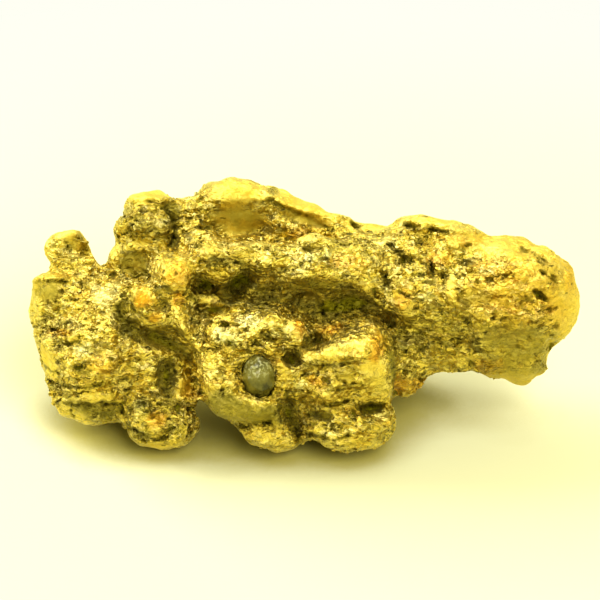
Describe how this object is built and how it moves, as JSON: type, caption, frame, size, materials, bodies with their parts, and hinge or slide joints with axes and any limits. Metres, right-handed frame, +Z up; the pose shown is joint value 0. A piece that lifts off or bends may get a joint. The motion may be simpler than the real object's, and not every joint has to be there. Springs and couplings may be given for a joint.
{
  "type": "gold nugget",
  "caption": "Natural gold nugget: knobbly lobed mass with a worn crest, a rounded arm, spongy hollows and a grain of quartz held in a pocket.",
  "frame": {"origin": "centre of the footprint of the nugget's bounding box, on the surface it rests on", "axes": "+Z up from the resting feet, +X along the length towards the large round knob, +Y towards the plain back"},
  "size_m": [0.0276, 0.0116, 0.0113],
  "materials": {
    "native_gold": "water-worn native gold, satin on the high lobes and rough in the hollows",
    "smoky_quartz": "broken grey-green quartz, glassy"
  },
  "bodies": {
    "root": {"gold_nugget": "native_gold", "quartz_grain": "smoky_quartz"}
  },
  "joints": []
}
